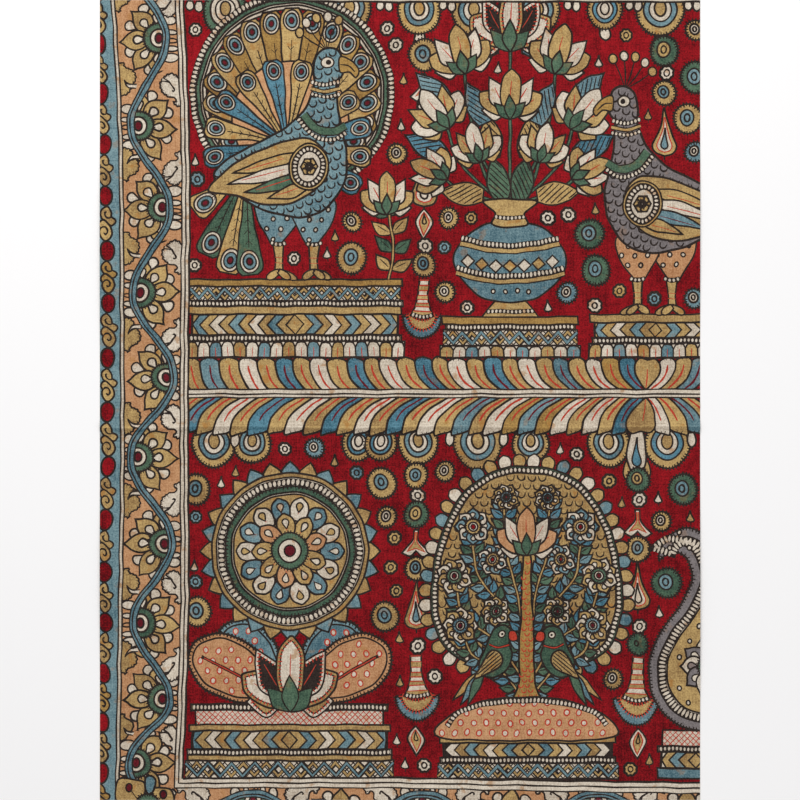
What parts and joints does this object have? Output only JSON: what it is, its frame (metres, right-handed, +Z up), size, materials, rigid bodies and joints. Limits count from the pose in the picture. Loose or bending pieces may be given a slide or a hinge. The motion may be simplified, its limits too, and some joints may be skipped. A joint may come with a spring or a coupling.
{
  "type": "kalamkari panel",
  "caption": "Flat rectangular length of hand-painted cotton cloth, with a flower and vine border on a red field, lying flat with a soft storage crease.",
  "frame": {"origin": "centre of the bounding box's lowest face, on the surface that the cloth lies on", "axes": "+Z up out of the painted face, +Y along the length towards the top of the design, +X across the width to the right of the design"},
  "size_m": [0.54, 0.72, 0.0033],
  "materials": {
    "dyed_cotton": "matt plain-weave cotton, painted with natural dyes: red ground with ochre, blue, green, cream and black"
  },
  "bodies": {
    "root": {"cloth_panel": "dyed_cotton"}
  },
  "joints": []
}
